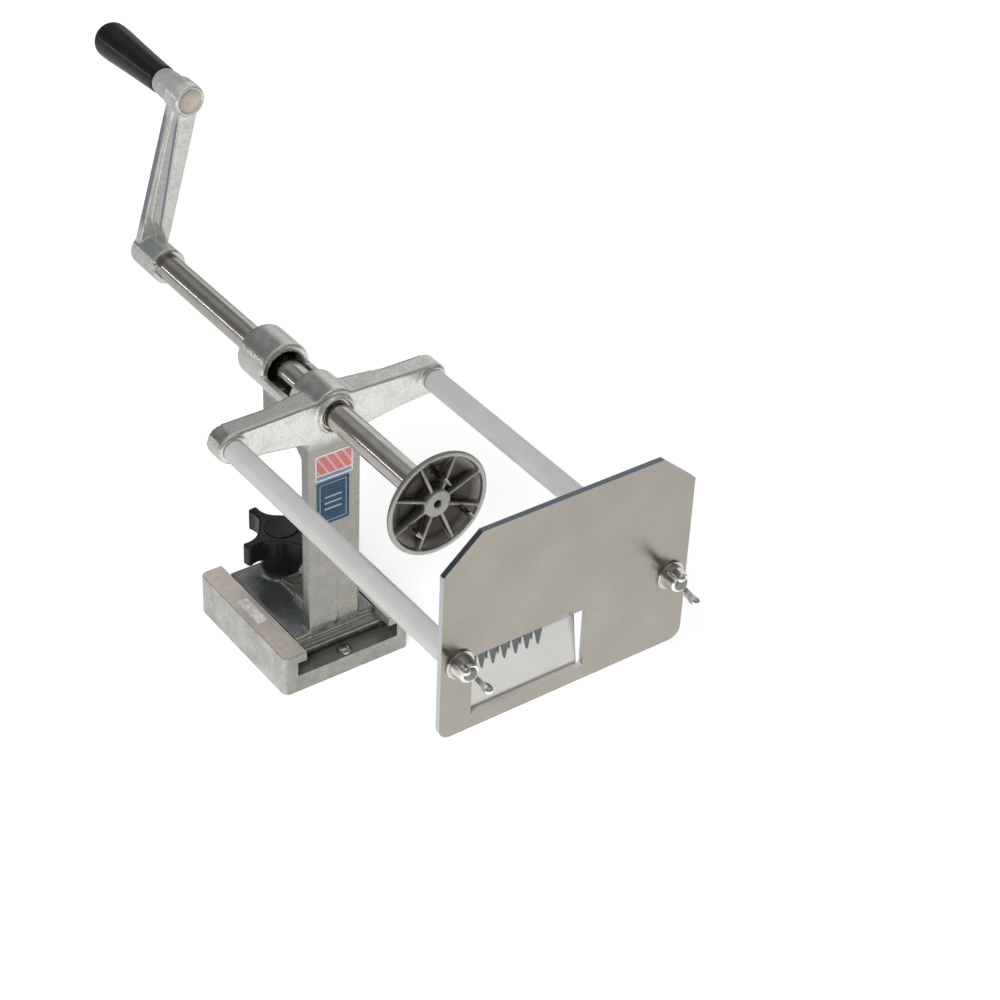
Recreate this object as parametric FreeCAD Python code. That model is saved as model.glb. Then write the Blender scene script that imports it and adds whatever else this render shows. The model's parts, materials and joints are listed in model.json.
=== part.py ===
import FreeCAD, Part
import math
import os

# Table-top spiral potato cutter. Millimetres. X to the right, Y from the cutting plate back to
# the crank, Z up, origin at the middle of the base underside.

os.makedirs("parts", exist_ok=True)
V = FreeCAD.Vector
alongY = V(0, 1, 0)
inch = 25.4

# ---- driving dimensions ----
base_width, base_length, base_height = 4 * inch, 4.5 * inch, 1.25 * inch
slot_floor = 13.8                    # top of the floor of the T-slot
slot_lip = 24.9                      # underside of the two lips that hold the foot down
shaft_radius = 0.375 * inch
shaft_z = 205.0                      # height of the shaft and of both guide rods
rod_spacing = 6 * inch
rod_radius = 7.7
plate_margin = 0.5 * inch            # from a rod's centre to the side edge of the plate
plate_height, plate_thick = 140.3, 3.85
plate_front = -290.7                 # front face of the cutting plate
plate_low = 152.7
window_margin = 9.2                  # from the left rod's centre to the window
window_width, window_low, window_high = 81.0, 163.0, 206.0
crank_reach = 121.0                  # shaft centre to handle centre
crank_lean = math.radians(12.7)      # lean of the crank arm to the right of upright
crank_front, crank_rear = 187.0, 209.0
hub_front, hub_radius = 178.0, 12.8
grip_front, grip_rear = 222.0, 305.0
chuck_radius, chuck_face = 36.8, -158.5
skewer_way = 4.5                     # radius of the skewer's way through the plate
knob_y = 30.0                        # clamp screw, behind the post
knob_low, knob_rim, knob_high = 37.2, 52.2, 68.2
knob_reach = 31.8                    # screw centre to the end of a knob arm

# ---- named clearances ----
slide_gap = 0.3                      # foot in its T-slot
run_gap = 0.05                       # radial, shaft in its bushings and handle on its bolt
fit_gap = 0.05                       # parts that are fixed to each other
thread_gap = 0.08

# ---- derived sizes ----
rod_x = rod_spacing / 2
plate_width = rod_spacing + 2 * plate_margin
plate_back = plate_front + plate_thick
window = dict(left=-rod_x + window_margin, low=window_low, high=window_high,
              right=-rod_x + window_margin + window_width)
wing_front, wing_rear = -40.8, -26.0
pad_front = wing_front - 1.2         # machined ring on the wing where a rod starts
rod_spigot = 5.0
spigot_end = wing_rear - 2.5
stud_radius = 5 / 32 * inch
crank_x = crank_reach * math.sin(crank_lean)
crank_z = shaft_z + crank_reach * math.cos(crank_lean)
post_front, post_back, post_half = -39.8, -30.9, 20.4
boss_front, bushing_face, boss_rear = -44.0, -41.4, -11.0
collar_front, collar_rear = 20.0, 52.0
collar_radius, collar_bore, mouth_radius, boss_radius = 19.0, 15.0, 13.5, 18.0
foot_top = base_height + 0.15
bushing_bore = shaft_radius + run_gap
shaft_front = chuck_face + 7.6


def box(x0, x1, y0, y1, z0, z1):
    return Part.makeBox(x1 - x0, y1 - y0, z1 - z0, V(x0, y0, z0))


def rod_y(x, z, radius, y0, y1):
    return Part.makeCylinder(radius, y1 - y0, V(x, y0, z), alongY)


def rod_z(x, y, radius, z0, z1):
    return Part.makeCylinder(radius, z1 - z0, V(x, y, z0))


def wire_through(points, place):
    # points are corners; a corner given as (a, b, "via") is the middle of an arc between its neighbours
    edges, n, i = [], len(points), 0
    while i < n:
        here, ahead = points[i], points[(i + 1) % n]
        if len(ahead) == 3:
            beyond = points[(i + 2) % n]
            edges.append(Part.Arc(place(*here[:2]), place(*ahead[:2]), place(*beyond[:2])).toShape())
            i += 2
        else:
            edges.append(Part.makeLine(place(*here[:2]), place(*ahead[:2])))
            i += 1
    return Part.Wire(edges)


def slab_xz(points, y0, y1):
    return Part.Face(wire_through(points, lambda x, z: V(x, y0, z))).extrude(V(0, y1 - y0, 0))


def slab_yz(points, x0, x1):
    return Part.Face(wire_through(points, lambda y, z: V(x0, y, z))).extrude(V(x1 - x0, 0, 0))


def slab_xy(points, z0, z1):
    return Part.Face(wire_through(points, lambda x, y: V(x, y, z0))).extrude(V(0, 0, z1 - z0))


def turned_y(x, z, points):
    # solid of revolution about a line along Y; points are (y, radius)
    wire = wire_through(points, lambda y, r: V(x + r, y, z))
    return Part.Face(wire).revolve(V(x, 0, z), alongY, 360)


def turned_z(x, y, points):
    # solid of revolution about an upright line; points are (z, radius)
    wire = wire_through(points, lambda z, r: V(x + r, y, z))
    return Part.Face(wire).revolve(V(x, y, 0), V(0, 0, 1), 360)


def soften(shape, radius, pick):
    solid = shape.Solids[0]
    return solid.makeFillet(radius, [e for e in solid.Edges if pick(e)])


def is_upright(edge):
    return abs(edge.tangentAt(edge.FirstParameter).z) > 0.99 and edge.Curve.TypeId == "Part::GeomLine"


def hex_nut(x, z, across, y0, y1, bore):
    corners = [(x + across / math.sqrt(3) * math.cos(math.radians(60 * k)),
                z + across / math.sqrt(3) * math.sin(math.radians(60 * k))) for k in range(6)]
    body = slab_xz(corners, y0, y1)
    cone = turned_y(x, z, [(y0, 0), (y0, across * 0.56), (y1 - 1.4, across * 0.62), (y1, across * 0.5), (y1, 0)])
    return body.common(cone).cut(rod_y(x, z, bore, y0 - 1, y1 + 1))


# ---- base ----
def base_casting():
    w, l, h = base_width / 2, base_length / 2, base_height
    body = soften(box(-w, w, -l, l, 0, h), 5.5, is_upright)
    body = soften(body, 1.1, lambda e: e.BoundBox.ZMin > h - 0.01)
    under, mouth = 39.8 + slide_gap, 33.2
    slot = slab_xz([(-under, slot_floor), (under, slot_floor), (under, slot_lip), (mouth, slot_lip),
                    (mouth, h + 1), (-mouth, h + 1), (-mouth, slot_lip), (-under, slot_lip)], -l - 1, l + 1)
    body = body.cut(slot)
    body = body.fuse(box(-45.2, -37.4, -14, 14.5, h - 0.3, h + 0.45)).removeSplitter()
    for x in (-38, 38):              # blind tapped holes for bolting down from below
        for y in (-45, 45):
            body = body.cut(rod_z(x, y, 2.6, -1, 10))
    return body.cut(rod_z(0, stop_y, 2.6, 6.5, slot_floor + 1))


stop_y = -51.4


def base_stop_screw():
    z = slot_floor
    screw = turned_z(0, stop_y, [(7, 0), (7, 2.5), (z + 0.05, 2.5), (z + 0.05, 5.0), (z + 2.2, 5.0),
                                 (z + 3.7, 3.7, "via"), (z + 4.2, 0)])
    for turn in (20, 110):
        bar = box(-3, 3, -0.7, 0.7, z + 2.4, z + 6)
        bar.rotate(V(0, 0, 0), V(0, 0, 1), turn)
        bar.translate(V(0, stop_y, 0))
        screw = screw.cut(bar)
    return screw


# ---- upright casting: foot, post, crossbar, front boss, trough and rear collar in one piece ----
def foot():
    # a tongue carried on two runners in the T-slot, and a block between the base's rails
    front, rear, half, runner, arch = -45.0, 46.0, 39.4, 5.4, 17.4
    low, high = slot_floor + slide_gap, slot_lip - slide_gap
    tongue = soften(box(-half, half, front, rear, low, high), 3.0, is_upright)
    tongue = soften(tongue, 3.6, lambda e: e.BoundBox.ZMin > high - 0.01 and e.BoundBox.YMax < front + 0.01)
    tongue = tongue.cut(box(runner - half, half - runner, front - 1, rear + 1, low - 1, arch))
    block = box(-32.6, 32.6, post_front, rear, high - 1, foot_top)
    return tongue.fuse(block).fuse(turned_z(0, knob_y, [(20, 0), (20, 14.6), (foot_top + 0.6, 14.6),
                                                        (foot_top + 1.6, 13.4), (foot_top + 1.6, 0)]))


def post():
    # a front flange with a low rib on it, and a web down the middle that spreads into the foot
    h, low, web_half, spread = post_half, slot_lip - slide_gap - 1, 8.0, 5.0
    flange = box(-h, h, post_front, post_back, low, 196)
    rib = soften(box(-0.6, 2.0, post_front - 0.5, post_front + 1, foot_top, 112), 0.45,
                 lambda e: e.BoundBox.YMax < post_front - 0.49)
    rear_edge = Part.BSplineCurve()
    run = [(37.5, 166), (20, 164.5), (2, 162), (-10, 155), (-15.5, 140), (-17, 110), (-17, 76), (-13, 56),
           (-4, 44), (7, 38), (knob_y - 13, foot_top + 3.4)]
    rear_edge.interpolate([V(-web_half, y, z) for y, z in run])
    corners = [V(-web_half, y, z) for y, z in (run[-1], (run[-1][0], low), (-34, low), (-34, 196),
                                               (run[0][0], 196), run[0])]
    outline = Part.Wire([rear_edge.toShape()] + [Part.makeLine(a, b) for a, b in zip(corners, corners[1:])])
    web = Part.Face(outline).extrude(V(2 * web_half, 0, 0))
    wide, top = web_half + spread, foot_top + spread
    bend = spread * (1 - math.sqrt(0.5))
    root = slab_xz([(-wide, low), (wide, low), (wide, foot_top), (web_half + bend, foot_top + bend, "via"),
                    (web_half, top), (-web_half, top), (-web_half - bend, foot_top + bend, "via"),
                    (-wide, foot_top)], post_back - 0.5, -2)
    return flange.fuse([rib, web, root])


def crossbar():
    tip = 11.0
    side = slab_xz([(-rod_x, shaft_z + tip), (0, shaft_z + 13), (rod_x, shaft_z + tip), (rod_x, shaft_z - tip),
                    (50, 191.9), (26, 188.2), (0, 182.5, "via"), (-26, 188.2), (-50, 191.9),
                    (-rod_x, shaft_z - tip)], -45, 0)
    for x in (-rod_x, rod_x):
        side = side.fuse(rod_y(x, shaft_z, tip, -45, 0))
    plan = slab_xy([(-95, wing_front), (95, wing_front), (95, wing_rear), (44, wing_rear), (15, wing_rear + 4),
                    (-15, wing_rear + 4), (-44, wing_rear), (-95, wing_rear)], 150, 240)
    bar = side.removeSplitter().common(plan)
    bar = soften(bar, 1.2, lambda e: e.BoundBox.YMax < wing_front + 0.01)
    for x in (-rod_x, rod_x):
        bar = bar.fuse(turned_y(x, shaft_z, [(wing_front + 2, 0), (wing_front + 2, 10.2), (wing_front, 10.2),
                                             (pad_front, 9.4), (pad_front, 0)]))
    return bar


def body_casting():
    # the shaft lies open in a trough between the front boss and the rear collar
    z, front, rear, r = shaft_z, collar_front, collar_rear, collar_radius
    collar = turned_y(0, z, [(front, 0), (front, r - 1.2), (front + 1.2, r), (rear - 1.6, r), (rear, r - 1.6),
                             (rear, 0)])
    trough = rod_y(0, z, r, -30, front + 2).common(box(-30, 30, -30, front + 2, z - 30, z))
    boss = turned_y(0, z, [(boss_front, 0), (boss_front, 12.9), (boss_front + 0.7, 13.6),
                           (boss_front + 2.4, 13.6), (wing_front, 14.6), (wing_front, boss_radius - 1.2),
                           (wing_front + 1.2, boss_radius), (boss_rear - 1.6, boss_radius),
                           (boss_rear, boss_radius - 1.6), (boss_rear, 0)])
    body = foot().fuse([post(), crossbar(), collar, trough]).removeSplitter()
    body = body.cut(rod_y(0, z, collar_bore, boss_rear, front)).cut(rod_y(0, z, mouth_radius, front - 1, rear))
    body = body.cut(rod_y(0, z, collar_bore, bushing_seat, rear + 1))
    body = body.fuse(boss).cut(rod_y(0, z, 11, boss_front - 6, boss_rear + 1))
    body = body.cut(rod_y(0, z, 11.8, boss_front - 6, bushing_face))
    for x in (-rod_x, rod_x):
        body = body.cut(rod_y(x, z, rod_spigot + fit_gap, pad_front - 1, spigot_end + fit_gap))
        body = body.cut(rod_y(x, z, 2.6, spigot_end - 1, wing_rear + 1))
    body = body.cut(rod_z(0, knob_y, 4.1, 10, 40))
    body = body.cut(rod_z(0, knob_y, pad_radius + 0.4, 10, pad_room))
    return body.removeSplitter()


pad_radius, pad_room = 6.0, 21.0     # pressure pad, and the top of its pocket under the foot
bushing_seat = 30.9                  # shoulder in the collar that the rear bushing comes up to


def front_bushing():
    # set back inside the rim of the boss
    face, rear, lead = bushing_face, boss_rear - 1, 0.6
    return turned_y(0, shaft_z, [(face + lead, bushing_bore), (face, bushing_bore + lead), (face, 11 - fit_gap),
                                 (rear, 11 - fit_gap), (rear, bushing_bore)])


def rear_bushing():
    front, rear, outer = bushing_seat + 0.1, collar_rear - 4, collar_bore - fit_gap
    return turned_y(0, shaft_z, [(front, bushing_bore), (front, outer), (rear, outer), (rear, bushing_bore)])


# ---- guide rods and what holds them ----
def guide_rod(x):
    front = plate_front - 12.6
    rod = turned_y(x, shaft_z, [(spigot_end, 0), (spigot_end, 4.2), (spigot_end - 0.8, rod_spigot),
                                (pad_front - 0.02, rod_spigot), (pad_front - 0.02, 7.0),
                                (pad_front - 0.8, rod_radius), (plate_back + 0.6, rod_radius),
                                (plate_back + 0.02, 7.1), (plate_back + 0.02, stud_radius),
                                (front + 0.8, stud_radius), (front, 3.1), (front, 0)])
    return rod.cut(rod_y(x, shaft_z, 2.6, spigot_end - 16, spigot_end + 1))


def rod_screw(x):
    # low round head behind the wing, threaded into the end of the rod
    seat = wing_rear + 0.02
    screw = turned_y(x, shaft_z, [(seat - 14, 0), (seat - 14, 2.5), (seat, 2.5), (seat, 6.6), (seat + 1.2, 6.6),
                                  (seat + 2.2, 5.2, "via"), (seat + 2.5, 3.4), (seat + 2.5, 0)])
    return screw.cut(hex_nut(x, shaft_z, 3.2, seat + 0.9, seat + 4, 0.01).fuse(
        rod_y(x, shaft_z, 0.5, seat + 0.9, seat + 4)))


# ---- cutting plate ----
def front_plate():
    w, low, high = plate_width / 2, plate_low, plate_low + plate_height
    cut_x, cut_z, r = 25.4, 22.0, 8.0
    k = r * (1 - math.sqrt(0.5))
    plate = slab_xz([(-w + r, low), (w - r, low), (w - k, low + k, "via"), (w, low + r), (w, high - cut_z),
                     (w - cut_x, high), (-w + cut_x, high), (-w, high - cut_z), (-w, low + r),
                     (-w + k, low + k, "via")], plate_front, plate_back)
    hole = box(window["left"], window["right"], plate_front - 1, plate_back + 1, window["low"], window["high"])
    hole = soften(hole, 1.5, lambda e: abs(e.tangentAt(e.FirstParameter).y) > 0.99)
    plate = plate.cut(hole).cut(rod_y(0, shaft_z, skewer_way, plate_front - 1, plate_back + 1))
    for x in (-rod_x, rod_x):
        plate = plate.cut(rod_y(x, shaft_z, stud_radius + 0.33, plate_front - 1, plate_back + 1))
    for x, z in blade_screws + comb_screws:
        plate = plate.cut(rod_y(x, z, 1.75, plate_back - 2.6, plate_back + 1))
    return plate


blade_left, blade_right = window["left"] + 2.6, window["right"] - 2
comb_right = -skewer_way - 3.5
screw_inset = 8.2
blade_screws = [(x, window["low"] - 5.4) for x in (blade_left + screw_inset, (blade_left + blade_right) / 2,
                                                   blade_right - screw_inset)]
comb_screws = [(x, window["high"] + 7) for x in (blade_left + screw_inset, comb_right - 6)]
sheet = 1.5                          # thickness of the blade and comb strip


def slicing_blade():
    # a flat flange on the back of the plate, then a ramp that rises to a bevelled edge behind it
    y, low, edge_y, edge_z = plate_back + 0.03, window["low"] - 10, plate_back + 6.4, shaft_z - 4
    blade = slab_yz([(y, low), (y, window["low"] + 1.5), (edge_y - sheet, edge_z - 5), (edge_y, edge_z),
                     (edge_y + 0.15, edge_z), (edge_y + 0.15, edge_z - 4.5), (y + sheet, window["low"] + 1.0),
                     (y + sheet, low)], blade_left, blade_right)
    for x, z in blade_screws:
        blade = blade.cut(rod_y(x, z, 2.0, plate_back - 1, plate_back + 4))
    return blade


def comb_blade():
    # a strip above the window whose long pointed teeth hang down in front of the blade edge; it stops
    # short of the shaft's line, where the skewer comes through
    y, high, pitch, count = plate_back + 0.03, window["high"] + 13, 8.0, 6
    first = window["left"] + 9.6
    line = [(blade_left, high), (blade_left, window["high"] + 1.5)]
    for k in range(count):
        x = first + k * pitch
        line += [(x - 2.5, window["high"] + 1.5), (x - 2.5, window["high"] - 5), (x, window["high"] - 15.5),
                 (x + 0.6, window["high"] - 15.5), (x + 2.5, window["high"] - 5), (x + 2.5, window["high"] + 1.5)]
    line += [(comb_right, window["high"] + 1.5), (comb_right, high)]
    comb = slab_xz(line, y, y + sheet)
    for x, z in comb_screws:
        comb = comb.cut(rod_y(x, z, 2.0, plate_back - 1, plate_back + 4))
    return comb


def small_screw(x, z):
    # button head behind the plate, shank short of the front face
    y = plate_back + 0.03 + sheet
    head = turned_y(x, z, [(plate_back - 2.4, 0), (plate_back - 2.4, 1.7), (y + 0.02, 1.7), (y + 0.02, 3.2),
                           (y + 0.7, 3.2), (y + 1.6, 2.5, "via"), (y + 2.0, 0)])
    socket = hex_nut(x, z, 2.0, y + 0.9, y + 3, 0.01).fuse(rod_y(x, z, 0.5, y + 0.9, y + 3))
    return head.cut(socket)


def wing_washer(x):
    y = plate_front
    return turned_y(x, shaft_z, [(y - 0.02, stud_radius + 0.3), (y - 0.02, 9.6), (y - 1.3, 9.6),
                                 (y - 1.6, 9.3), (y - 1.6, stud_radius + 0.3)])


def wing_nut(x, tilt):
    y = plate_front - 1.65
    hub = turned_y(x, shaft_z, [(y, 0), (y, 7.9), (y - 1.2, 7.9), (y - 8.2, 6.4), (y - 9.2, 5.6), (y - 9.2, 0)])
    for side in (1, -1):
        s = side
        wing = slab_xy([(x + s * 4.5, y - 1.4), (x + s * 8.6, y - 2.2), (x + s * 13.4, y - 7.2),
                        (x + s * 16.3, y - 14.2, "via"), (x + s * 13.6, y - 18.6), (x + s * 10.4, y - 16.4),
                        (x + s * 7.8, y - 11.2, "via"), (x + s * 4.5, y - 8.6)], shaft_z - 1.8, shaft_z + 1.8)
        bead = turned_y(x + s * 13.5, shaft_z, [(y - 18.8, 0), (y - 17.5, 2.3, "via"), (y - 15.0, 2.8),
                                                (y - 11.4, 2.4, "via"), (y - 8.2, 0)])
        hub = hub.fuse(wing).fuse(bead)
    hub = hub.cut(rod_y(x, shaft_z, stud_radius + thread_gap, y - 20, y + 1)).removeSplitter()
    hub.rotate(V(x, 0, shaft_z), alongY, tilt)
    return hub


# ---- shaft, crank and handle ----
def drive_shaft():
    r, front, rear = shaft_radius, shaft_front + 0.1, crank_rear + 1
    return turned_y(0, shaft_z, [(front, 0), (front, r - 0.8), (front + 0.8, r), (rear - 1, r), (rear, r - 1),
                                 (rear, 0)])


def shaft_washer():
    inner, outer, y0, y1 = shaft_radius + 0.08, hub_radius, hub_front - 2.3, hub_front - 0.3
    return turned_y(0, shaft_z, [(y0, inner), (y0, outer - 0.6), (y0 + 0.5, outer), (y1 - 0.5, outer),
                                 (y1, outer - 0.6), (y1, inner)])


bolt_radius, rivet_radius, rivet_sink = 4.6, 9.0, 1.4
boss_reach = 2.8                     # the handle boss stands out past the front of the arm by this
ferrule_front = 204.65
arm_middle = (crank_front + crank_rear) / 2 - 1


def crank_arm():
    # hub, leaning bar and handle boss in one piece; the bar is thin at the hub, where a slope cuts away the
    # front of its left part, and full at the boss
    c, s = math.cos(crank_lean), math.sin(crank_lean)
    front, rear, y = crank_front, crank_rear, crank_front - boss_reach
    hub = turned_y(0, shaft_z, [(hub_front, 0), (hub_front, hub_radius - 0.8), (hub_front + 0.8, hub_radius),
                                (rear - 0.6, hub_radius), (rear, hub_radius - 0.6), (rear, 0)])
    low, high = shaft_z, crank_z
    bar = slab_xz([(-11.4, low), (crank_x - 6.5, high), (crank_x + 10.2, high), (3.4, low)], front + 0.4, rear)
    bar = bar.common(slab_yz([(front, low - 1), (rear, low - 1), (rear, low), (ferrule_front, high),
                              (ferrule_front, high + 1), (front, high + 1)], -40, 60))
    bar = soften(bar, 1.6, lambda e: e.Length > crank_reach / 2)
    slope = slab_yz([(hub_front, low + 5), (rear - 8, low + 9), (rear - 9.4, low + 60, "via"),
                     (rear - 15, low + 113), (hub_front, low + 113)], -40, 40)
    crease = slab_xz([(-40, low - 5), (6, low - 5), (4.6, low + 12), (1.6, low + 26), (crank_x - 5.4, high),
                      (-40, high)], hub_front, rear + 1)
    boss = turned_y(crank_x, crank_z, [(y, 0), (y, 10.2), (y + 1.2, 11.4), (y + 6, 12),
                                       (ferrule_front - 4, 12), (ferrule_front - 0.05, 10.6),
                                       (ferrule_front - 0.05, 0)])
    arm = bar.cut(slope.common(crease)).fuse([hub, boss])
    arm = arm.cut(rod_y(0, shaft_z, shaft_radius + fit_gap, hub_front - 1, rear + 5))
    arm = arm.cut(rod_y(crank_x, crank_z, bolt_radius + fit_gap, front - 7, rear + 5))
    arm = arm.cut(rod_y(crank_x, crank_z, rivet_radius, front - 7, y + rivet_sink))
    arm = arm.cut(rod_y(crank_x, crank_z, 13, ferrule_front - 0.05, rear + 5))
    set_hole = Part.makeCylinder(2.5, hub_radius + 2, V(0, arm_middle, shaft_z), V(-s, 0, -c))
    return arm.cut(set_hole).removeSplitter()


def crank_set_screw():
    c, s = math.cos(crank_lean), math.sin(crank_lean)
    out = V(-s, 0, -c)
    start = V(0, arm_middle, shaft_z) + out * (shaft_radius + 0.1)
    screw = Part.makeCylinder(2.4, 2.9, start, out)
    return screw.cut(Part.makeCylinder(1.2, 2.2, start + out * 1.3, out))


def handle_bolt():
    # riveted head sunk in the front of the arm, captive flange inside the grip
    seat, flange, r = crank_front - boss_reach + rivet_sink - 0.03, grip_rear - 20.7, bolt_radius
    head = rivet_radius - 0.6
    return turned_y(crank_x, crank_z, [(seat - 1.4, 0), (seat - 1.2, head / 2, "via"), (seat - 0.5, head),
                                       (seat, head), (seat, r), (flange, r), (flange, 6.2), (flange + 3, 6.2),
                                       (flange + 3.7, 5.5), (flange + 3.7, 0)])


def handle_ferrule():
    y0, y1, bore = ferrule_front, grip_front - 0.4, bolt_radius + fit_gap
    return turned_y(crank_x, crank_z, [(y0, bore), (y0, 10.3), (y0 + 9.3, 10.2), (y1 - 0.8, 9.6), (y1, 9.0),
                                       (y1, bore)])


cap_seam, cap_socket = grip_rear - 11, 7.0


def handle_grip():
    # slim at the arm and fuller towards the cap, hollow at the rear for the bolt's flange
    y, bore, pocket = grip_front, bolt_radius + run_gap, grip_rear - 21
    return turned_y(crank_x, crank_z, [(y, bore), (y, 9.2), (y + 1.2, 10.2), (y + 33, 11.5, "via"),
                                       (pocket, 13.1), (cap_seam, 13.3), (cap_seam, cap_socket),
                                       (pocket, cap_socket), (pocket, bore)])


def grip_cap():
    y, plug = cap_seam + 0.05, cap_socket - fit_gap
    return turned_y(crank_x, crank_z, [(y - 5, 0), (y - 5, plug), (y, plug), (y, 13.25), (y + 3, 13.1),
                                       (grip_rear - 2.8, 9.8, "via"), (grip_rear - 0.4, 3.6), (grip_rear, 0)])


# ---- chuck that drives the potato round ----
prong_ring = 22.0


def drive_chuck():
    face, r = chuck_face, chuck_radius
    body = turned_y(0, shaft_z, [(face + 6.6, 0), (face + 6.6, 12), (face + 5.2, 25), (face + 2.4, r - 3.6),
                                 (face, r - 3.2), (face, r - 0.4), (face + 0.5, r), (face + 2.2, r),
                                 (face + 6.4, r - 5), (face + 9.4, 20), (face + 12, 13.4), (face + 21, 12.6),
                                 (face + 21, 0)])
    for k in range(8):
        fin = slab_xy([(8, face + 1.2), (r - 3.4, face + 0.7), (r - 3.4, face + 4), (24, face + 7),
                       (8, face + 8)], -1.15, 1.15)
        fin.rotate(V(0, 0, 0), alongY, 22.5 + 45 * k)
        fin.translate(V(0, 0, shaft_z))
        body = body.fuse(fin)
    body = body.fuse(turned_y(0, shaft_z, [(face + 7, 0), (face + 7, 10.8), (face + 1.0, 9.8), (face + 0.4, 9.2),
                                           (face + 0.4, 0)]))
    body = body.cut(rod_y(0, shaft_z, shaft_radius + fit_gap, shaft_front, face + 30))
    body = body.cut(rod_y(0, shaft_z, 2.6, face - 1, shaft_front + 1))
    for k in range(3):
        a = math.radians(90 + 120 * k)
        body = body.cut(rod_y(prong_ring * math.cos(a), shaft_z + prong_ring * math.sin(a), 1.85, face - 1,
                              face + 12))
    hole = Part.makeCylinder(2.1, 20, V(0, face + 15.5, shaft_z), V(0.7, 0, -0.7))
    return body.cut(hole).removeSplitter()


def chuck_screw():
    out = V(0.7071, 0, -0.7071)
    start = V(0, chuck_face + 15.5, shaft_z) + out * (shaft_radius + 0.1)
    screw = Part.makeCylinder(2.0, 3.0, start, out)
    return screw.cut(Part.makeCylinder(1.0, 2.0, start + out * 1.4, out))


def chuck_prong(k):
    a, y = math.radians(90 + 120 * k), chuck_face
    return turned_y(prong_ring * math.cos(a), shaft_z + prong_ring * math.sin(a),
                    [(y + 9.0, 0), (y + 9.0, 1.8), (y - 7, 1.8), (y - 12.6, 0.25), (y - 12.6, 0)])


# ---- clamp: knob, its screw and the pad that bears on the slot floor ----
def clamp_screw():
    tip, r, top = slot_floor + 1.4, 4.0, knob_high - 6
    return turned_z(0, knob_y, [(tip, 0), (tip, 2.4), (tip + 2, 2.4), (tip + 2, r - 0.7), (tip + 2.8, r), (top, r),
                                (top, 0)])


def pressure_pad():
    z = slot_floor + 0.3
    return turned_z(0, knob_y, [(z, 0), (z, pad_radius - 0.4), (z + 0.4, pad_radius), (z + 2.6, pad_radius),
                                (z + 2.6, 2.7), (z + 0.9, 2.7), (z + 0.9, 0)])


def clamp_knob():
    low, rim, high, reach = knob_low, knob_rim, knob_high, knob_reach
    body = turned_z(0, 0, [(low, 0), (low, 13.8), (low + 1, 14.8), (rim, 15.1), (rim, 0)])
    arms = rod_z(0, 0, 15.5, rim - 0.01, high)
    for k in range(4):
        arm = slab_xy([(8, -14), (13, -9.4), (18, -5.0, "via"), (reach - 1.6, -3.9), (reach, -2.4), (reach, 2.4),
                       (reach - 1.6, 3.9), (18, 5.0, "via"), (13, 9.4), (8, 14)], rim - 0.01, high)
        arm.rotate(V(0, 0, 0), V(0, 0, 1), 9 + 90 * k)
        arms = arms.fuse(arm)
    arms = arms.removeSplitter()
    arms = soften(arms, 1.1, lambda e: e.BoundBox.ZMin > high - 0.01)
    body = body.fuse(arms)
    body = body.cut(rod_z(0, 0, 4 + fit_gap, low - 5, high - 5.8)).cut(rod_z(0, 0, 11.9, high - 1.2, high + 1))
    body.translate(V(0, knob_y, 0))
    return body.removeSplitter()


def knob_cap():
    z = knob_high
    return turned_z(0, knob_y, [(z - 1.15, 0), (z - 1.15, 11.6), (z - 0.1, 11.6), (z + 0.5, 11.0), (z + 0.8, 0)])


# ---- plain labels on the post ----
def post_label(x0, x1, z0, z1):
    return soften(box(x0, x1, post_front - 0.32, post_front - 0.02, z0, z1), 1.6,
                  lambda e: abs(e.tangentAt(e.FirstParameter).y) > 0.99)


pieces = {
    "base_casting": base_casting(), "base_stop_screw": base_stop_screw(), "body_casting": body_casting(),
    "front_bushing": front_bushing(), "rear_bushing": rear_bushing(),
    "left_guide_rod": guide_rod(-rod_x), "right_guide_rod": guide_rod(rod_x),
    "left_rod_screw": rod_screw(-rod_x), "right_rod_screw": rod_screw(rod_x),
    "front_plate": front_plate(), "slicing_blade": slicing_blade(), "comb_blade": comb_blade(),
    "left_washer": wing_washer(-rod_x), "right_washer": wing_washer(rod_x),
    "left_wing_nut": wing_nut(-rod_x, 52), "right_wing_nut": wing_nut(rod_x, 60),
    "drive_shaft": drive_shaft(), "shaft_washer": shaft_washer(), "crank_arm": crank_arm(),
    "crank_set_screw": crank_set_screw(), "handle_bolt": handle_bolt(), "handle_ferrule": handle_ferrule(),
    "handle_grip": handle_grip(), "grip_cap": grip_cap(),
    "drive_chuck": drive_chuck(), "chuck_screw": chuck_screw(),
    "clamp_screw": clamp_screw(), "pressure_pad": pressure_pad(), "clamp_knob": clamp_knob(),
    "knob_cap": knob_cap(),
    "upper_label": post_label(-15.2, 14.2, 154.6, 175.0), "lower_label": post_label(-14.2, 11.6, 118.0, 153.6),
}
for number, (x, z) in enumerate(blade_screws, 1):
    pieces["blade_screw_%d" % number] = small_screw(x, z)
for number, (x, z) in enumerate(comb_screws, 1):
    pieces["comb_screw_%d" % number] = small_screw(x, z)
for number in range(3):
    pieces["chuck_prong_%d" % (number + 1)] = chuck_prong(number)

for name, shape in pieces.items():
    if len(shape.Solids) != 1 or not shape.isValid():
        raise ValueError("%s: %d solids, valid %s" % (name, len(shape.Solids), shape.isValid()))
    shape.Solids[0].exportStep("parts/%s.step" % name)
print(len(pieces), "parts written")
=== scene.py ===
import bpy
import bmesh
import json
import math
from mathutils import Matrix, Vector


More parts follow.
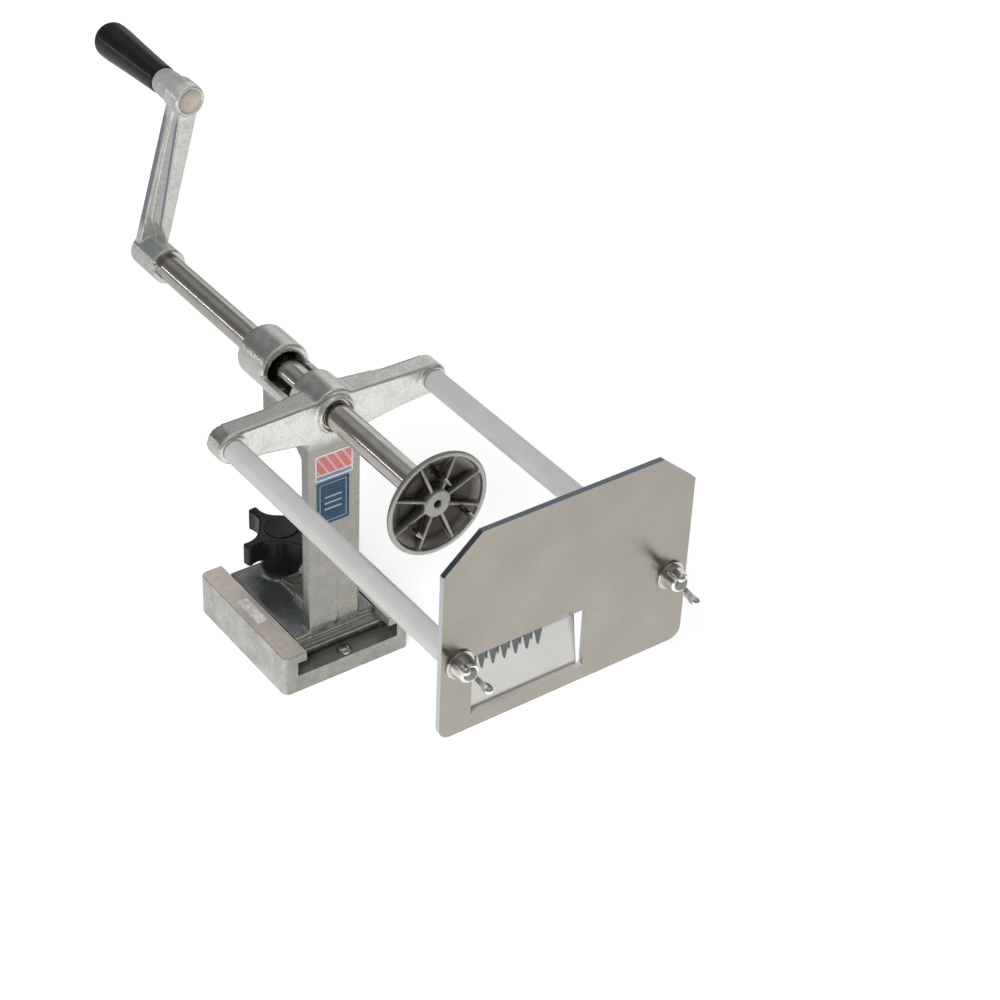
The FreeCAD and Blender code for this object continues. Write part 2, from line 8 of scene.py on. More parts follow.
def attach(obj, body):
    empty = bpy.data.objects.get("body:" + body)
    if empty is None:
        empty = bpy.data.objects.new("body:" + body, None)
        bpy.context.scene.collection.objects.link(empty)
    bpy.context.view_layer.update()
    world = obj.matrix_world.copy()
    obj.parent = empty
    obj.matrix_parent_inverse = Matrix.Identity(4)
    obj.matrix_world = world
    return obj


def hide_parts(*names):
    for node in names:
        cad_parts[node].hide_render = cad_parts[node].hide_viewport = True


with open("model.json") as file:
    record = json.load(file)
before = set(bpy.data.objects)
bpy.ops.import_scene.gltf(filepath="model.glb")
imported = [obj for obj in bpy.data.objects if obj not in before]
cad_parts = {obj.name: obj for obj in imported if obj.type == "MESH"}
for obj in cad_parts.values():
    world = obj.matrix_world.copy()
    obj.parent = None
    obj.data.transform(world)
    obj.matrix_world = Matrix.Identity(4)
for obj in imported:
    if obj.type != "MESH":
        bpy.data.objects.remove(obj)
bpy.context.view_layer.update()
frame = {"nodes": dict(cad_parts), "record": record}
nodes = frame["nodes"]
print("frame loaded:", len(nodes), "nodes")


# node helpers, shared by all finishes
def newFinish(name):
    finish = bpy.data.materials.new(name)
    finish.use_nodes = True
    return finish, *opened(finish)


def opened(finish):
    return finish.node_tree, finish.node_tree.nodes["Principled BSDF"]


def objectCoords(tree, scale=(1, 1, 1), turn=(0, 0, 0)):
    source = tree.nodes.new("ShaderNodeTexCoord")
    mapping = tree.nodes.new("ShaderNodeMapping")
    mapping.inputs["Scale"].default_value = scale
    mapping.inputs["Rotation"].default_value = turn
    tree.links.new(source.outputs["Object"], mapping.inputs["Vector"])
    return mapping.outputs["Vector"]


def axesOf(tree, kind):
    source = tree.nodes.new("ShaderNodeTexCoord")
    split = tree.nodes.new("ShaderNodeSeparateXYZ")
    tree.links.new(source.outputs[kind], split.inputs["Vector"])
    return split.outputs


def placeOf(tree):
    # the shaded point in the piece's own frame, in metres
    return axesOf(tree, "Object")


def facing(tree, axis):
    # how far the piece's own surface faces along one of its axes, from -1 to 1
    return axesOf(tree, "Normal")[axis]


def noise(tree, coords, scale, detail=4.0, roughness=0.55):
    texture = tree.nodes.new("ShaderNodeTexNoise")
    texture.inputs["Scale"].default_value = scale
    texture.inputs["Detail"].default_value = detail
    texture.inputs["Roughness"].default_value = roughness
    tree.links.new(coords, texture.inputs["Vector"])
    return texture.outputs["Fac"]


def voronoi(tree, coords, scale):
    texture = tree.nodes.new("ShaderNodeTexVoronoi")
    texture.inputs["Scale"].default_value = scale
    tree.links.new(coords, texture.inputs["Vector"])
    return texture.outputs["Distance"]


def remap(tree, value, low, high, toLow=0.0, toHigh=1.0):
    step = tree.nodes.new("ShaderNodeMapRange")
    for name, number in (("From Min", low), ("From Max", high), ("To Min", toLow), ("To Max", toHigh)):
        step.inputs[name].default_value = number
    tree.links.new(value, step.inputs["Value"])
    return step.outputs["Result"]


def calc(tree, operation, a, b=None):
    step = tree.nodes.new("ShaderNodeMath")
    step.operation = operation
    for socket, value in zip(step.inputs, (a, b)):
        if value is None:
            continue
        if isinstance(value, (int, float)):
            socket.default_value = value
        else:
            tree.links.new(value, socket)
    return step.outputs["Value"]


def product(tree, *factors):
    total = factors[0]
    for factor in factors[1:]:
        total = calc(tree, "MULTIPLY", total, factor)
    return total


def above(tree, value, limit):
    return calc(tree, "GREATER_THAN", value, limit)


def below(tree, value, limit):
    return calc(tree, "LESS_THAN", value, limit)


def sizeOf(tree, value):
    return calc(tree, "ABSOLUTE", value)


def mixColor(tree, factor, first, second, blend="MIX"):
    step = tree.nodes.new("ShaderNodeMix")
    step.data_type = "RGBA"
    step.blend_type = blend
    for index, value in ((0, factor), (6, first), (7, second)):
        if isinstance(value, (int, float)):
            step.inputs[index].default_value = value
        elif isinstance(value, tuple):
            step.inputs[index].default_value = (*value, 1.0)
        else:
            tree.links.new(value, step.inputs[index])
    return step.outputs[2]


def scaled(color, factor):
    return tuple(factor * channel for channel in color)


def bump(tree, height, depth, strength=1.0, under=None):
    step = tree.nodes.new("ShaderNodeBump")
    step.inputs["Distance"].default_value = depth
    step.inputs["Strength"].default_value = strength
    tree.links.new(height, step.inputs["Height"])
    if under is not None:
        tree.links.new(under, step.inputs["Normal"])
    return step.outputs["Normal"]


def overlay(tree, shader, factor, color, blend="MIX"):
    # lays another colour over what the finish already has
    old = shader.inputs["Base Color"].links[0].from_socket
    tree.links.new(mixColor(tree, factor, old, color, blend), shader.inputs["Base Color"])


def upperLeft(tree):
    # a soft mask of what faces up and to the left, towards the sky's dark side
    lean = calc(tree, "ADD", product(tree, facing(tree, "X"), -0.54), product(tree, facing(tree, "Z"), 0.84))
    return remap(tree, lean, 0.86, 0.93)


# cast and tumbled metal: sandy speckle, wider mottling, darker pits
castLooks = {
    "body": dict(color=(0.73, 0.72, 0.665), dull=(0.64, 0.635, 0.605), rough=0.24, grain=800.0,
                 speckle=0.4, depth=0.00010, metal=0.85),
    "base": dict(color=(0.60, 0.60, 0.57), dull=(0.44, 0.44, 0.41), rough=0.36, grain=700.0,
                 speckle=0.45, depth=0.00012, metal=0.7),
    "crank": dict(color=(0.64, 0.63, 0.59), dull=(0.55, 0.545, 0.52), rough=0.24, grain=600.0,
                  speckle=0.25, depth=0.00004, metal=0.65),
    "chuck": dict(color=(0.33, 0.31, 0.28), dull=(0.21, 0.20, 0.185), rough=0.34, grain=900.0,
                  speckle=0.5, depth=0.00009, metal=0.85),
}
castMottle = dict(scale=90.0, relief=0.0006, sand=(0.86, 0.86, 0.85), spread=0.06)


def castFinish(name, look):
    finish, tree, shader = newFinish(name)
    color, dull, rough, spread = look["color"], look["dull"], look["rough"], castMottle["spread"]
    coords = objectCoords(tree)
    grain = noise(tree, coords, look["grain"], 3.0, 0.65)
    sand = noise(tree, coords, 2.6 * look["grain"], 2.0, 0.6)
    wide = noise(tree, coords, castMottle["scale"], 5.0, 0.6)
    pits = remap(tree, voronoi(tree, coords, 0.55 * look["grain"]), 0.0, 0.3)
    tint = mixColor(tree, remap(tree, wide, 0.35, 0.68), color, dull)
    tint = mixColor(tree, remap(tree, grain, 0.50, 0.66, 0.0, look["speckle"]), tint, scaled(dull, 0.55))
    tint = mixColor(tree, remap(tree, sand, 0.56, 0.70, 0.0, 0.35), tint, castMottle["sand"])
    shader.inputs["Metallic"].default_value = look["metal"]
    tree.links.new(tint, shader.inputs["Base Color"])
    roughness = calc(tree, "ADD", remap(tree, wide, 0.3, 0.7, rough - spread, rough + spread),
                     remap(tree, grain, 0.3, 0.7, -spread, spread))
    tree.links.new(roughness, shader.inputs["Roughness"])
    relief = bump(tree, wide, castMottle["relief"], 0.3)
    relief = bump(tree, pits, look["depth"], 0.5, relief)
    tree.links.new(bump(tree, grain, look["depth"], 0.9, relief), shader.inputs["Normal"])
    return finish


# painted shade darkens the post below the crossbar and the foot's front faces, painted shade and dark
# reflection darken the foot's top, painted dark bluish reflection of the sky lies on the upper left of the
# boss, of the collar and of one wing's end
bodyMarks = dict(postTop=(0.191, 0.180), postPaintedShade=(0.43, 0.425, 0.40), barrelHalf=0.0195, barrelLow=0.2135,
                 wingEnd=(-0.0755, -0.0770), darkSkyReflection=(0.42, 0.47, 0.48), footTop=0.0345,
                 footTopShade=(0.20, 0.24, 0.275), footFrontShade=(0.17, 0.18, 0.15))


def bodyFinish(marks):
    finish = castFinish("bodyCast", castLooks["body"])
    tree, shader = opened(finish)
    place = placeOf(tree)
    cloud = noise(tree, objectCoords(tree), 110.0, 5.0, 0.65)
    # painted shade: the post darker below the crossbar
    post = remap(tree, place["Z"], *marks["postTop"], 0.0, 0.9)
    overlay(tree, shader, post, marks["postPaintedShade"], "MULTIPLY")
    # painted dark bluish reflection of the sky on the upper left of the boss, of the collar and of one wing's
    # end
    barrel = product(tree, below(tree, sizeOf(tree, place["X"]), marks["barrelHalf"]),
                     above(tree, place["Z"], marks["barrelLow"]))
    darkReflectionPlaces = calc(tree, "MAXIMUM", barrel, remap(tree, place["X"], *marks["wingEnd"]))
    darkSkyReflection = product(tree, upperLeft(tree), darkReflectionPlaces, remap(tree, cloud, 0.35, 0.6, 0.9, 0.6))
    overlay(tree, shader, darkSkyReflection, marks["darkSkyReflection"], "MULTIPLY")
    foot = below(tree, place["Z"], marks["footTop"])
    # painted shade and dark reflection on the foot's top
    onTop = product(tree, foot, remap(tree, facing(tree, "Z"), 0.8, 0.95),
                    remap(tree, cloud, 0.42, 0.60, 0.35, 0.8))
    overlay(tree, shader, onTop, marks["footTopShade"])
    # painted shade on the foot's front and other faces that do not face up
    atFront = product(tree, foot, remap(tree, facing(tree, "Z"), 0.8, 0.6),
                      remap(tree, cloud, 0.45, 0.58, 0.45, 0.9))
    overlay(tree, shader, atFront, marks["footFrontShade"])
    return finish


# the two rails are ground flat and warmer, the pad on one of them is left as cast; painted dark reflection
# along the rails' outer edges, painted shade with some oily grime in the slot, painted shade on faces to the
# front
baseMarks = dict(railLow=0.0312, railHigh=0.03190, padLow=0.03195, warm=(0.90, 0.80, 0.73),
                 warmDull=(0.78, 0.69, 0.63), streak=(0.48, 0.44, 0.42), pad=(0.90, 0.89, 0.87),
                 padDull=(0.60, 0.59, 0.58), padMetal=0.2, rimFrom=0.0500, rim=(0.20, 0.22, 0.25),
                 slotHalf=0.0403, slotTop=0.0245, slotFloor=0.0135, slot=(0.13, 0.135, 0.12),
                 front=(0.74, 0.73, 0.69), railRough=0.12)


def baseFinish(marks):
    finish = castFinish("baseCast", castLooks["base"])
    tree, shader = opened(finish)
    place = placeOf(tree)
    outward = sizeOf(tree, place["X"])
    ground = product(tree, above(tree, place["Z"], marks["railLow"]),
                     below(tree, place["Z"], marks["railHigh"]), remap(tree, facing(tree, "Z"), 0.97, 0.99))
    streaks = noise(tree, objectCoords(tree, (900, 60, 60)), 1.0, 4.0)
    blotch = noise(tree, objectCoords(tree), 240.0, 5.0, 0.65)
    warm = mixColor(tree, remap(tree, blotch, 0.35, 0.65), marks["warm"], marks["warmDull"])
    warm = mixColor(tree, remap(tree, streaks, 0.5, 0.75, 0.0, 0.35), warm, marks["streak"])
    overlay(tree, shader, ground, warm)
    pad = above(tree, place["Z"], marks["padLow"])
    overlay(tree, shader, pad,
            mixColor(tree, remap(tree, blotch, 0.4, 0.6), marks["pad"], marks["padDull"]))
    # painted dark reflection of the sky along the rails' outer edges
    overlay(tree, shader, product(tree, ground, above(tree, outward, marks["rimFrom"])), marks["rim"])
    # painted shade in the slot, deeper on its walls and ceiling than on its floor, with some oily grime
    slot = product(tree, below(tree, place["Z"], marks["slotTop"]), below(tree, outward, marks["slotHalf"]),
                   above(tree, place["Z"], marks["slotFloor"]),
                   remap(tree, facing(tree, "Z"), 0.3, 0.7, 0.9, 0.6))
    overlay(tree, shader, slot, marks["slot"])
    # painted shade: faces that look to the front are darker
    overlay(tree, shader, remap(tree, facing(tree, "Y"), -0.6, -0.9), marks["front"], "MULTIPLY")
    old = shader.inputs["Roughness"].links[0].from_socket
    rough = calc(tree, "ADD", product(tree, ground, marks["railRough"]), old)
    tree.links.new(rough, shader.inputs["Roughness"])
    metal = remap(tree, pad, 0.0, 1.0, castLooks["base"]["metal"], marks["padMetal"])
    tree.links.new(metal, shader.inputs["Metallic"])
    return finish


# painted bluish reflection on the arm's sides, darker along their edges; plain lighter front faces and top
# boss; painted dark reflection of the sky on the upper left near the shaft
crankMarks = dict(armFrom=(0.222, 0.232), side=(0.42, 0.46, 0.52), sideReflectionShare=0.35, frontEdge=(0.1912, 0.1900),
                  backEdge=(0.1990, 0.2010), edge=(0.16, 0.19, 0.23), edgeReflectionShare=0.8, slopeFrom=0.1885,
                  slope=(0.66, 0.65, 0.60), bossFrom=(0.306, 0.312), boss=(0.80, 0.80, 0.81), bossShare=0.55,
                  hubTop=0.2275, hub=(0.60, 0.64, 0.68))


def crankFinish(marks):
    finish = castFinish("crankCast", castLooks["crank"])
    tree, shader = opened(finish)
    place = placeOf(tree)
    arm = remap(tree, place["Z"], *marks["armFrom"])
    along = product(tree, remap(tree, sizeOf(tree, facing(tree, "X")), 0.75, 0.92), arm)
    # painted bluish reflection on the arm's sides
    overlay(tree, shader, product(tree, along, marks["sideReflectionShare"]), marks["side"])
    # painted dark reflection along the arm's front and back edges
    edges = calc(tree, "MAXIMUM", remap(tree, place["Y"], *marks["backEdge"]),
                 remap(tree, place["Y"], *marks["frontEdge"]))
    overlay(tree, shader, product(tree, along, edges, marks["edgeReflectionShare"]), marks["edge"])
    slope = product(tree, above(tree, place["Y"], marks["slopeFrom"]),
                    remap(tree, facing(tree, "Y"), -0.75, -0.92), arm)
    overlay(tree, shader, slope, marks["slope"])
    overlay(tree, shader, remap(tree, place["Z"], *marks["bossFrom"], 0.0, marks["bossShare"]), marks["boss"])
    # painted dark reflection of the sky on the upper left near the shaft
    hub = product(tree, below(tree, place["Z"], marks["hubTop"]), upperLeft(tree))
    overlay(tree, shader, hub, marks["hub"], "MULTIPLY")
    return finish


# painted shade darkens the hollows between the ribs; the rim is lighter
chuckMarks = dict(pocketFrom=(-0.1572, -0.1540), pocket=(0.045, 0.040, 0.031), pocketShare=0.95,
                  rimFrom=(-0.1578, -0.1583), rim=(0.42, 0.41, 0.38), rimShare=0.8)


def chuckFinish(marks):
    finish = castFinish("chuckCast", castLooks["chuck"])
    tree, shader = opened(finish)
    place = placeOf(tree)
    # painted shade in the hollows between the ribs
    pockets = product(tree, remap(tree, place["Y"], *marks["pocketFrom"], 0.0, marks["pocketShare"]),
                      remap(tree, facing(tree, "Y"), -0.2, 0.2, 1.0, 0.0))
    overlay(tree, shader, pockets, marks["pocket"])
    overlay(tree, shader, remap(tree, place["Y"], *marks["rimFrom"], 0.0, marks["rimShare"]), marks["rim"])
    return finish


# matt grey rods, with a rolled thread on the studs in front of the plate
rodLook = dict(color=(0.70, 0.705, 0.685), dull=(0.65, 0.655, 0.64), metal=0.45, rough=(0.46, 0.56),
               studFrom=-0.2905, stud=(0.30, 0.29, 0.27), threadTurn=5000.0, threadDepth=0.00025)


def satinRodFinish(look):
    finish, tree, shader = newFinish("satinRod")
    place = placeOf(tree)
    along = noise(tree, objectCoords(tree, (700, 20, 700)), 1.0, 3.0)
    soft = noise(tree, objectCoords(tree), 60.0, 4.0)
    stud = below(tree, place["Y"], look["studFrom"])
    tint = mixColor(tree, remap(tree, soft, 0.3, 0.7), look["color"], look["dull"])
    tree.links.new(mixColor(tree, stud, tint, look["stud"]), shader.inputs["Base Color"])
    shader.inputs["Metallic"].default_value = look["metal"]
    tree.links.new(remap(tree, along, 0.3, 0.7, *look["rough"]), shader.inputs["Roughness"])
    thread = product(tree, calc(tree, "SINE", product(tree, place["Y"], look["threadTurn"])), stud)
    fine = bump(tree, noise(tree, objectCoords(tree), 3000.0, 2.0), 0.00002, 0.4)
    tree.links.new(bump(tree, thread, look["threadDepth"], 1.0, fine), shader.inputs["Normal"])
    return finish


def polishedFinish(name, color, rough):
    # turned and polished steel: very fine rings round the piece
    finish, tree, shader = newFinish(name)
    rings = noise(tree, objectCoords(tree, (0, 4200, 0)), 1.0, 2.0)
    smudge = noise(tree, objectCoords(tree), 90.0, 5.0, 0.6)
    tint = mixColor(tree, remap(tree, smudge, 0.4, 0.7, 0.0, 0.6), color, scaled(color, 0.8))
    tree.links.new(tint, shader.inputs["Base Color"])
    shader.inputs["Metallic"].default_value = 1.0
    tree.links.new(remap(tree, smudge, 0.35, 0.7, rough, rough + 0.08), shader.inputs["Roughness"])
    tree.links.new(bump(tree, rings, 0.000012, 0.35), shader.inputs["Normal"])
    return finish


def brushedFinish(name, color, rough, stretch):
    # sheet steel brushed along one way, with a few stray scratches
    finish, tree, shader = newFinish(name)
    lines = noise(tree, objectCoords(tree, stretch), 1.0, 5.0, 0.7)
    cloud = noise(tree, objectCoords(tree), 28.0, 4.0, 0.55)
    scratch = noise(tree, objectCoords(tree, (240, 900, 14), (0, 0.5, 0)), 1.0, 3.0)
    tint = mixColor(tree, remap(tree, cloud, 0.3, 0.7), color, scaled(color, 0.88))
    tint = mixColor(tree, remap(tree, lines, 0.45, 0.8, 0.0, 0.3), tint, scaled(color, 1.15))
    tint = mixColor(tree, remap(tree, scratch, 0.72, 0.8, 0.0, 0.25), tint, (0.75, 0.74, 0.72))
    tree.links.new(tint, shader.inputs["Base Color"])
    shader.inputs["Metallic"].default_value = 1.0
    tree.links.new(remap(tree, lines, 0.3, 0.7, rough - 0.04, rough + 0.06), shader.inputs["Roughness"])
    tree.links.new(bump(tree, lines, 0.00001, 0.5), shader.inputs["Normal"])
    return finish


# on the plate's sheared edges a painted dark bluish reflection on top and a painted highlight at the left;
# painted light on the window's bottom edge
plateLook = dict(color=(0.37, 0.345, 0.30), rough=0.30, brush=(30, 900, 900), upperFrom=0.21,
                 upperEdgeReflection=(0.16, 0.19, 0.225), leftEdgeHighlight=(0.60, 0.62, 0.64), sillLight=(0.70, 0.68, 0.63),
                 sillDullness=0.7)


def plateFinish(look):
    finish = brushedFinish("brushedPlate", look["color"], look["rough"], look["brush"])
    tree, shader = opened(finish)
    edge = remap(tree, sizeOf(tree, facing(tree, "Y")), 0.6, 0.4)
    up = remap(tree, facing(tree, "Z"), 0.3, 0.6)
    upper = product(tree, edge, above(tree, placeOf(tree)["Z"], look["upperFrom"]))
    # painted dark bluish reflection on the upper edges
    overlay(tree, shader, product(tree, upper, up), look["upperEdgeReflection"])
    # painted highlight on the edges that face left
    overlay(tree, shader, remap(tree, facing(tree, "X"), -0.7, -0.9), look["leftEdgeHighlight"])
    # painted light on the window's bottom edge, which faces up
    sillLight = product(tree, calc(tree, "SUBTRACT", edge, upper), up)
    overlay(tree, shader, sillLight, look["sillLight"])
    metal = calc(tree, "SUBTRACT", 1.0, product(tree, sillLight, look["sillDullness"]))
    tree.links.new(metal, shader.inputs["Metallic"])
    return finish


def blackFinish(name, rough):
    # black plastic: fine grain and faint wear
    finish, tree, shader = newFinish(name)
    fine = noise(tree, objectCoords(tree), 2600.0, 2.0)
    wear = noise(tree, objectCoords(tree), 110.0, 5.0, 0.6)
    tint = mixColor(tree, remap(tree, wear, 0.45, 0.75), (0.0035, 0.004, 0.0045), (0.010, 0.011, 0.012))
    tree.links.new(tint, shader.inputs["Base Color"])
    tree.links.new(remap(tree, wear, 0.3, 0.7, rough, rough + 0.08), shader.inputs["Roughness"])
    shader.inputs["Specular IOR Level"].default_value = 0.4
    tree.links.new(bump(tree, fine, 0.000008, 0.2), shader.inputs["Normal"])
    return finish


bladeBrush = (900, 900, 40)
finishes = {
    "casting": bodyFinish(bodyMarks),
    "rod_satin": satinRodFinish(rodLook),
    "plate_steel": plateFinish(plateLook),
    "blade_steel": brushedFinish("bladeSteel", (0.56, 0.55, 0.52), 0.22, bladeBrush),
    "bright_steel": polishedFinish("brightSteel", (0.60, 0.58, 0.52), 0.11),
    "dark_screw": polishedFinish("darkScrew", (0.08, 0.08, 0.09), 0.3),
    "crank_metal": crankFinish(crankMarks),
    "chuck_metal": chuckFinish(chuckMarks),
    "bushing_metal": polishedFinish("bushing", (0.58, 0.565, 0.53), 0.22),
    "bushing_plastic": blackFinish("dullPlastic", 0.42),
    "black_plastic": blackFinish("blackMoulded", 0.2),
}
own = {
    "base_casting": baseFinish(baseMarks),
    "comb_blade": brushedFinish("combSteel", (0.125, 0.135, 0.145), 0.28, bladeBrush),
    "handle_bolt": polishedFinish("rivetHead", (0.62, 0.54, 0.46), 0.38),
    "left_wing_nut": polishedFinish("leftNutPlating", (0.82, 0.81, 0.79), 0.13),
    "right_wing_nut": polishedFinish("rightNutPlating", (0.82, 0.81, 0.79), 0.13),
}


# plain generic designs on the two labels, in their own plane, with lengths in metres
labels = {
    "label_red": dict(name="upperLabel", middle=(-0.0005, 0.1648), half=(0.0147, 0.0102), edge=0.0012,
                      ground=(0.72, 0.21, 0.22), border=(0.80, 0.80, 0.80), mark=(0.78, 0.47, 0.46),
                      slant=0.6, perMetre=150.0, gap=0.72, gapTop=-0.0052, stripTop=-0.0063,
                      strip=(0.20, 0.33, 0.50)),
    "label_blue": dict(name="lowerLabel", middle=(-0.0013, 0.1358), half=(0.0129, 0.0178), edge=0.0004,
                       ground=(0.020, 0.072, 0.130), border=(0.25, 0.32, 0.40), mark=(0.42, 0.48, 0.56),
                       frameHalf=(0.0102, 0.0150), frameLine=0.00028, barsHalf=(0.0066, 0.0071),
                       perMetre=210.0, gap=0.72),
}


def outside(tree, across, up, halfWidth, halfHeight):
    # above zero outside a rectangle about the label's middle
    beyond = [calc(tree, "SUBTRACT", sizeOf(tree, value), half)
              for value, half in ((across, halfWidth), (up, halfHeight))]
    return calc(tree, "MAXIMUM", *beyond)


def bands(tree, value, look):
    return above(tree, calc(tree, "FRACT", product(tree, value, look["perMetre"])), look["gap"])


def labelFinish(look, mark):
    finish, tree, shader = newFinish(look["name"])
    place = placeOf(tree)
    across = calc(tree, "SUBTRACT", place["X"], look["middle"][0])
    up = calc(tree, "SUBTRACT", place["Z"], look["middle"][1])
    rim = above(tree, outside(tree, across, up, *look["half"]), -look["edge"])
    color = mixColor(tree, rim, mark(tree, look, across, up), look["border"])
    faded = remap(tree, noise(tree, objectCoords(tree), 350.0, 4.0), 0.45, 0.75, 0.0, 0.06)
    tree.links.new(mixColor(tree, faded, color, (0.7, 0.7, 0.7)), shader.inputs["Base Color"])
    tree.links.new(remap(tree, noise(tree, objectCoords(tree), 300.0), 0.3, 0.7, 0.28, 0.42),
                   shader.inputs["Roughness"])
    shader.inputs["Specular IOR Level"].default_value = 0.25
    return finish


def slantedStripes(tree, look, across, up):
    # broad slanted stripes over a slate strip
    slant = calc(tree, "ADD", across, product(tree, up, look["slant"]))
    color = mixColor(tree, bands(tree, slant, look), look["ground"], look["mark"])
    color = mixColor(tree, below(tree, up, look["gapTop"]), color, look["border"])
    return mixColor(tree, below(tree, up, look["stripTop"]), color, look["strip"])


def framedBars(tree, look, across, up):
    # a thin frame round three short bars
    edge = sizeOf(tree, outside(tree, across, up, *look["frameHalf"]))
    within = below(tree, outside(tree, across, up, *look["barsHalf"]), 0.0)
    shown = calc(tree, "MAXIMUM", below(tree, edge, look["frameLine"]),
                 product(tree, bands(tree, up, look), within))
    return mixColor(tree, shown, look["ground"], look["mark"])


finishes["label_red"] = labelFinish(labels["label_red"], slantedStripes)
finishes["label_blue"] = labelFinish(labels["label_blue"], framedBars)

slotOf = {row["node"]: row["material_slot"] for row in frame["record"]["subparts"]}


def dress(piece, node):
    # a node's own finish, or the one of its material slot
    piece.data.materials.clear()
    piece.data.materials.append(own[node] if node in own else finishes[slotOf[node]])


for name, piece in nodes.items():
    dress(piece, name)
print("finishes made:", len(finishes) + len(own))


# cast and moulded pieces: the same form with every edge and inner corner softly rounded
castPieces = {
    "body_casting": dict(name="bodyCastingSkin", voxel=0.0010, rounds=3, body="frame"),
    "crank_arm": dict(name="crankArmSkin", voxel=0.0006, rounds=3, body="shaft"),
    "drive_chuck": dict(name="driveChuckSkin", voxel=0.0006, rounds=2, body="shaft"),
    "left_wing_nut": dict(name="leftWingNutSkin", voxel=0.0003, rounds=3, body="left_nut"),
    "right_wing_nut": dict(name="rightWingNutSkin", voxel=0.0003, rounds=3, body="right_nut"),
    "clamp_knob": dict(name="clampKnobSkin", voxel=0.0005, rounds=3, body="clamp_knob"),
}
weldDistance = 1e-6


def softened(source, name, voxel, rounds):
    copy = source.data.copy()
    mesh = bmesh.new()
    mesh.from_mesh(copy)
    bmesh.ops.remove_doubles(mesh, verts=mesh.verts, dist=weldDistance)
    mesh.to_mesh(copy)
    mesh.free()
    piece = bpy.data.objects.new(name, copy)
    bpy.context.scene.collection.objects.link(piece)
    remesh = piece.modifiers.new("cast", "REMESH")
    remesh.mode = "VOXEL"
    remesh.voxel_size = voxel
    remesh.use_smooth_shade = True
    smooth = piece.modifiers.new("round", "SMOOTH")
    smooth.factor = 0.5
    smooth.iterations = rounds
    view = bpy.context.evaluated_depsgraph_get()
    made = bpy.data.meshes.new_from_object(piece.evaluated_get(view))
    piece.modifiers.clear()
    piece.data = made
    made.name = name
    return piece


for node, plan in castPieces.items():
    piece = softened(nodes[node], plan["name"], plan["voxel"], plan["rounds"])
    dress(piece, node)
    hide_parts(node)
    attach(piece, plan["body"])
    print(plan["name"], len(piece.data.polygons))


# studio: pale floor that glows far from the machine and in mirror images, a sky with a dim and a light side,
# whose levels are given from the horizon up, and two lamps
studio = dict(floorSize=30.0, floorColor=(0.80, 0.80, 0.80), glowReach=(0.6, 2.5), seenGlow=(0.50, 0.85),
              mirroredGlow=(0.0, 0.50), mirroredSide=(-0.3, 0.2), aim=(0, -0.03, 0.17))
sky = dict(dim=[(0.0, 0.35), (0.08, 0.28), (0.25, 0.22), (0.55, 0.16), (0.69, 0.36), (0.78, 0.50),
                (0.90, 0.25), (1.0, 0.16)],
           light=[(0.0, 0.9), (0.15, 0.85), (0.60, 0.82), (0.74, 0.55), (0.82, 0.40), (1.0, 0.16)],
           hue=(0.985, 0.99, 1.0), border=(0.68, 0.75), borderSlant=0.5, backFrom=(0.0, 0.3))
lamps = [
    dict(name="keyLamp", place=(-1.5, -1.1, 1.6), size=(1.3, 1.3), power=46.0, mirrored=False),
    dict(name="lineLamp", place=(-1.75, 1.5, 0.50), size=(1.2, 0.07), power=1.5, mirrored=True),
]


def makeFloor():
    mesh = bmesh.new()
    bmesh.ops.create_grid(mesh, x_segments=1, y_segments=1, size=studio["floorSize"] / 2)
    data = bpy.data.meshes.new("floor")
    mesh.to_mesh(data)
    mesh.free()
    floor = bpy.data.objects.new("floor", data)
    bpy.context.scene.collection.objects.link(floor)
    finish, tree, shader = newFinish("paleFloor")
    shader.inputs["Base Color"].default_value = (*studio["floorColor"], 1)
    shader.inputs["Roughness"].default_value = 0.9
    shader.inputs["Specular IOR Level"].default_value = 0.1
    place = placeOf(tree)
    squares = [product(tree, place[axis], place[axis]) for axis in "XY"]
    reach = calc(tree, "SQRT", calc(tree, "ADD", *squares))
    near, far = studio["glowReach"]
    seen = remap(tree, reach, near, far, *studio["seenGlow"])
    across = calc(tree, "SUBTRACT", place["X"], place["Y"])
    mirrored = product(tree, remap(tree, reach, far, near),
                       remap(tree, across, *studio["mirroredSide"], *studio["mirroredGlow"]))
    path = tree.nodes.new("ShaderNodeLightPath").outputs
    reflected = calc(tree, "MAXIMUM", path["Is Glossy Ray"], path["Is Transmission Ray"])
    glow = calc(tree, "ADD", product(tree, path["Is Camera Ray"], seen), product(tree, reflected, mirrored))
    shader.inputs["Emission Color"].default_value = (1, 1, 1, 1)
    tree.links.new(glow, shader.inputs["Emission Strength"])
    data.materials.append(finish)


def skyRamp(tree, height, levels):
    # the ramp's own white stop at 1 stays, so the sky gets bright again below the point straight above
    ramp = tree.nodes.new("ShaderNodeValToRGB")
    stops = ramp.color_ramp.elements
    for index, (place, level) in enumerate(levels):
        stop = stops[0] if index == 0 else stops.new(place)
        stop.position = place
        stop.color = (*scaled(sky["hue"], level), 1)
    tree.links.new(height, ramp.inputs["Fac"])
    return ramp.outputs["Color"]


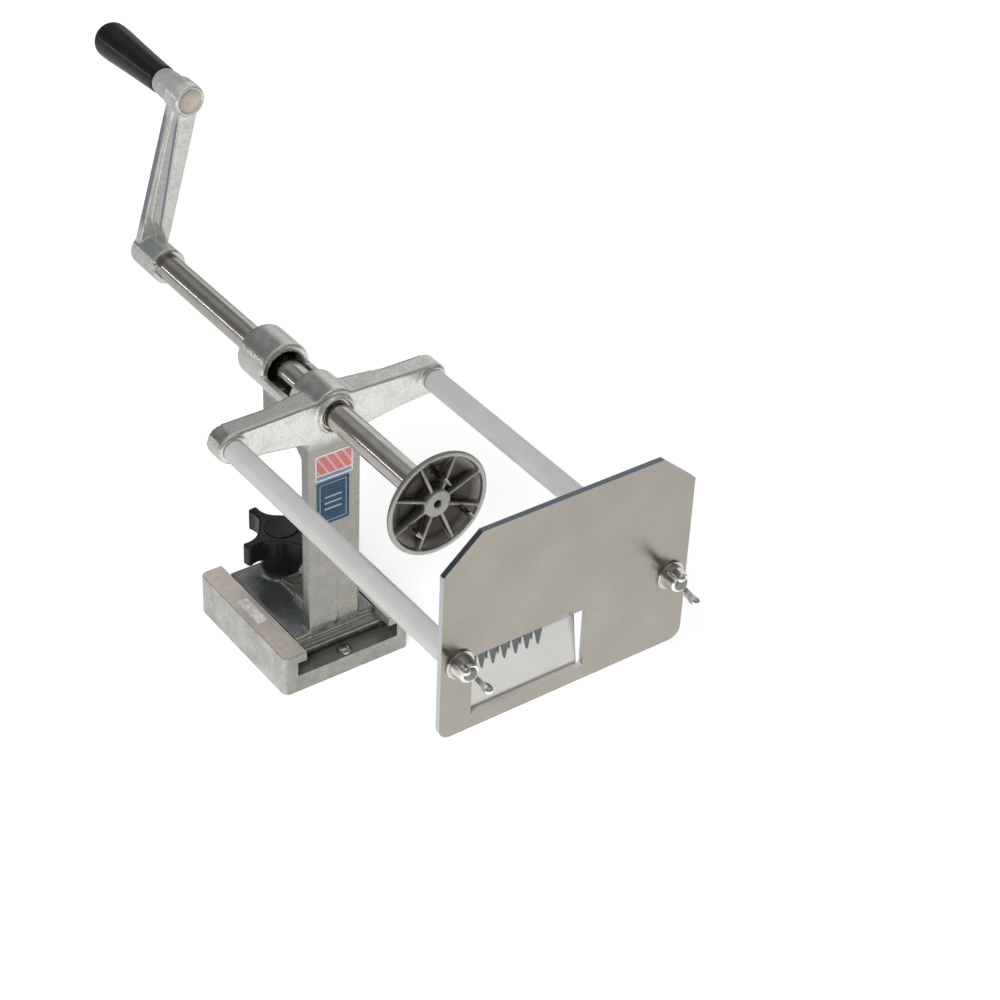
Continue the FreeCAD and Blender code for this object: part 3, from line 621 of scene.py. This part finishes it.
def makeSky():
    world = bpy.data.worlds.new("studioSky")
    bpy.context.scene.world = world
    world.use_nodes = True
    tree = world.node_tree
    way = axesOf(tree, "Generated")
    dim, light = (skyRamp(tree, way["Z"], sky[side]) for side in ("dim", "light"))
    across = calc(tree, "ADD", way["X"], product(tree, way["Z"], sky["borderSlant"]))
    side = product(tree, remap(tree, across, *sky["border"]), remap(tree, way["Y"], *sky["backFrom"]))
    seen = tree.nodes.new("ShaderNodeLightPath").outputs["Is Camera Ray"]
    shown = mixColor(tree, seen, mixColor(tree, side, dim, light), (1.0, 1.0, 1.0))
    tree.links.new(shown, tree.nodes["Background"].inputs["Color"])


def makeLamps():
    for plan in lamps:
        data = bpy.data.lights.new(plan["name"], "AREA")
        data.shape = "RECTANGLE"
        data.size, data.size_y = plan["size"]
        data.energy = plan["power"]
        lamp = bpy.data.objects.new(plan["name"], data)
        lamp.visible_glossy = plan["mirrored"]
        bpy.context.scene.collection.objects.link(lamp)
        lamp.location = plan["place"]
        towards = Vector(studio["aim"]) - Vector(plan["place"])
        lamp.rotation_euler = towards.to_track_quat("-Z", "Y").to_euler()


# place in metres, angles in degrees, lens and sensor in millimetres
viewpoint = dict(place=(-0.70392, -1.14717, 1.09225), azimuth=37.23, elevation=36.01, roll=2.79,
                 lens=88.035, sensor=36.0, clipStart=0.01)


def makeCamera():
    data = bpy.data.cameras.new("camera")
    data.lens = viewpoint["lens"]
    data.sensor_width = viewpoint["sensor"]
    data.clip_start = viewpoint["clipStart"]
    camera = bpy.data.objects.new("camera", data)
    bpy.context.scene.collection.objects.link(camera)
    turn = (Matrix.Rotation(math.radians(-viewpoint["azimuth"]), 4, "Z")
            @ Matrix.Rotation(math.radians(90 - viewpoint["elevation"]), 4, "X")
            @ Matrix.Rotation(math.radians(viewpoint["roll"]), 4, "Z"))
    camera.matrix_world = Matrix.Translation(viewpoint["place"]) @ turn
    bpy.context.scene.camera = camera


makeFloor()
makeSky()
makeLamps()
makeCamera()
bpy.context.scene.view_settings.view_transform = "Standard"
print("studio and camera made")
